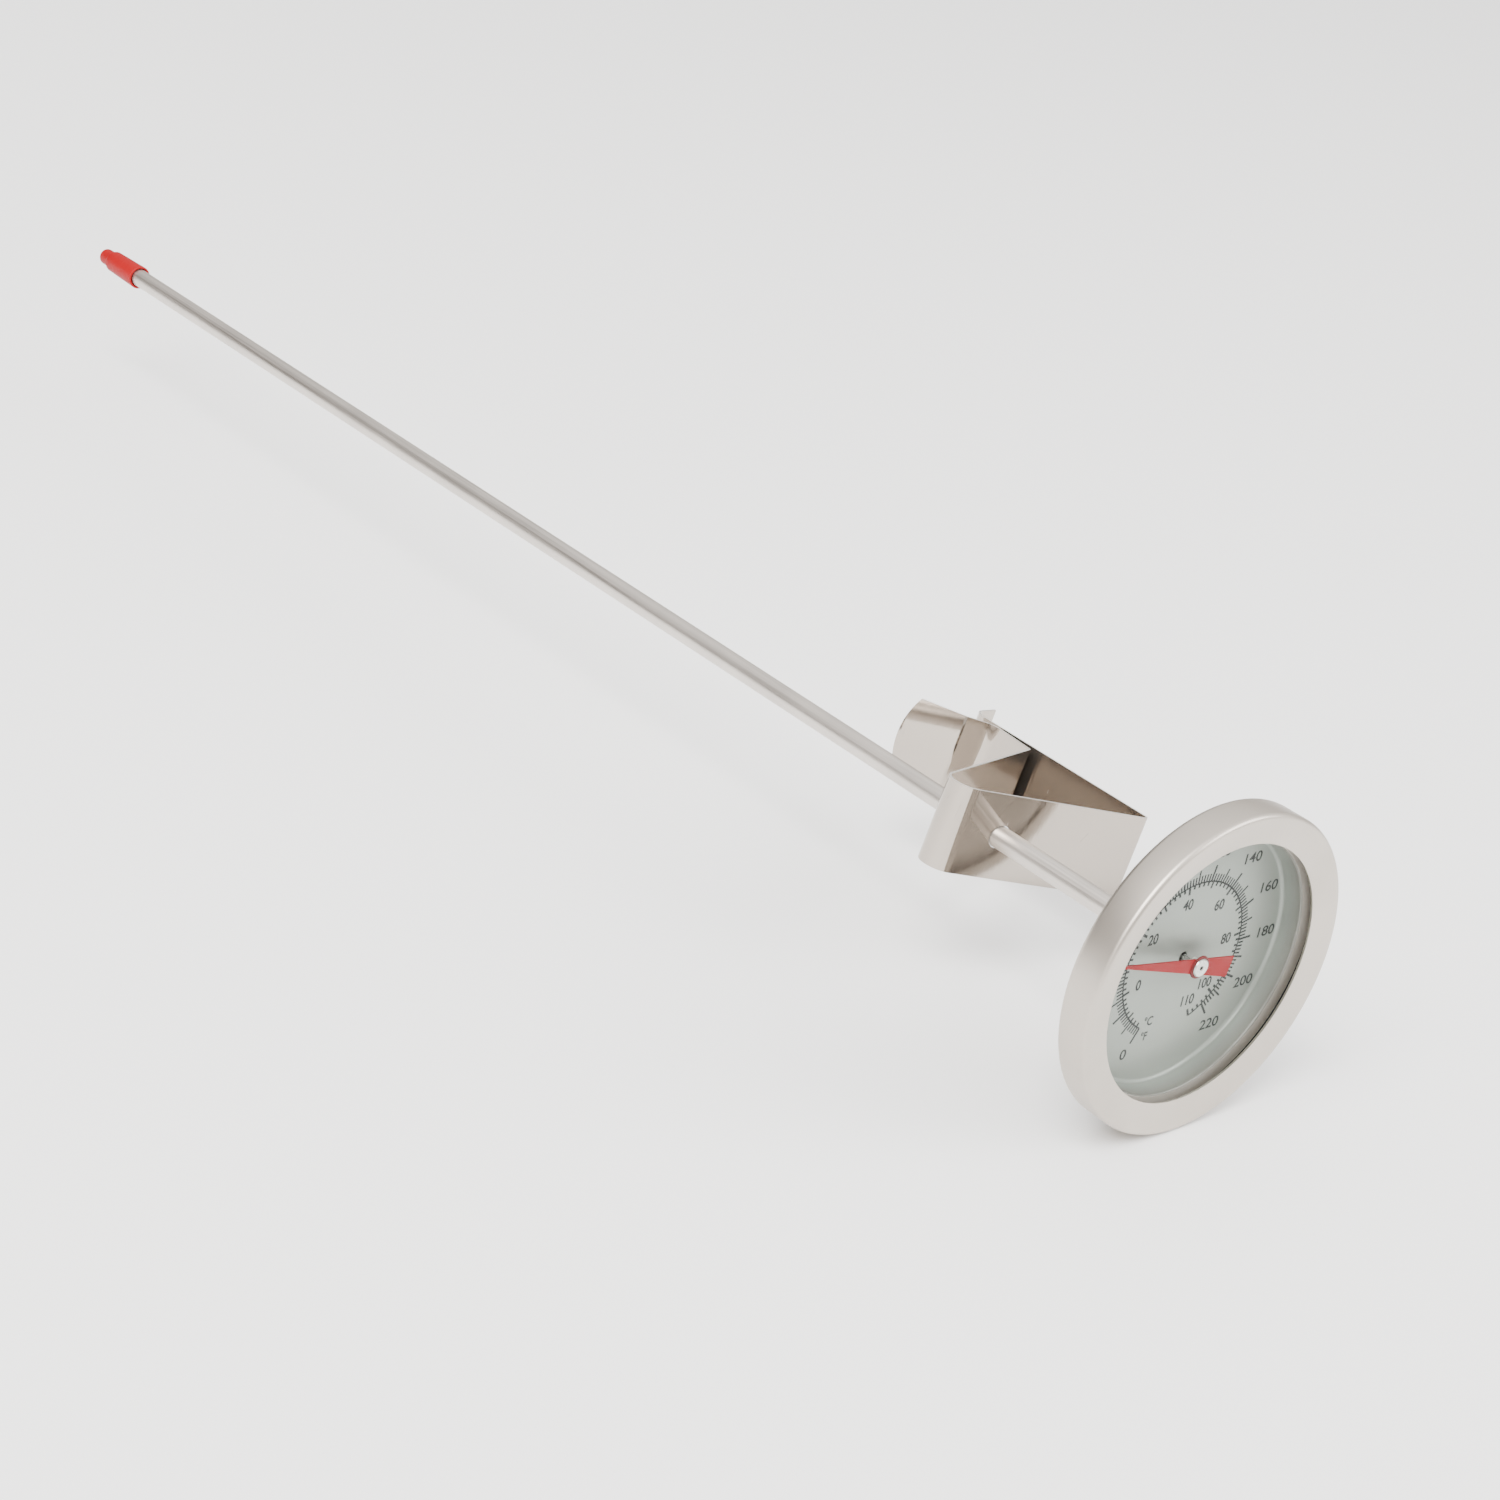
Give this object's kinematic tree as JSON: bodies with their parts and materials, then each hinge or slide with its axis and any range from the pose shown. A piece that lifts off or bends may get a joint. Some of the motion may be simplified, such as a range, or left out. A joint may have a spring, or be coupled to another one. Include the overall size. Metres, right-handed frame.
{
  "type": "dial thermometer",
  "caption": "Bimetal dial thermometer: round steel head with a dished dial and red pointer, long thin probe stem, sliding folded spring clip for a pot wall, and a red cap on the tip.",
  "frame": {"origin": "middle of the whole part's box; the stem's axis is 3.48 mm from it on the -X side, and the lens's outer face 156.95 mm on the -Y side", "axes": "+Y along the stem from the dial to the tip, +Z towards the dial's 12 o'clock, +X towards the dial's right-hand side"},
  "size_m": [0.0578, 0.317, 0.0508],
  "materials": {
    "satin_steel": "satin",
    "case_steel": "drawn, semi-bright",
    "stem_steel": "satin, drawn lengthwise",
    "spring_steel": "mirror polished",
    "clear_lens": "polished",
    "black_rubber": "matt",
    "dial_enamel": "satin",
    "grey_fibre": "matt",
    "bimetal_strip": "rolled",
    "bush_brass": "turned",
    "spindle_steel": "drawn",
    "pointer_red": "satin",
    "hub_metal": "turned",
    "cap_red": "satin"
  },
  "bodies": {
    "thermometer": {"bezel": "satin_steel", "lens": "clear_lens", "lens_gasket": "black_rubber", "dial_plate": "dial_enamel", "dial_seat": "grey_fibre", "case_back": "case_steel", "stem_ferrule": "stem_steel", "stem_tube": "stem_steel", "stem_plug": "stem_steel", "upper_bearing": "bush_brass", "middle_guide": "bush_brass", "lower_guide": "bush_brass", "bimetal_helix": "bimetal_strip", "helix_anchor": "bush_brass"},
    "pointer_train": {"pointer": "pointer_red", "pointer_bush": "hub_metal", "spindle": "spindle_steel", "helix_collar": "bush_brass"},
    "clip": {"pan_clip": "spring_steel"},
    "cap": {"tip_cap": "cap_red"}
  },
  "joints": [
    {"name": "pointer_turn", "type": "hinge", "parent": "thermometer", "child": "pointer_train", "pos_m": [-0.00348, -0.15695, 0], "axis": [0, 1, 0], "range_deg": [-74, 233.7], "stiffness_Nm_per_rad": 0.0001},
    {"name": "clip_slide", "type": "slide", "parent": "thermometer", "child": "clip", "axis": [0, 1, 0], "range_m": [-0.029, 0.245]},
    {"name": "cap_pull", "type": "slide", "parent": "thermometer", "child": "cap", "axis": [0, 1, 0], "range_m": [0, 0.02]}
  ]
}
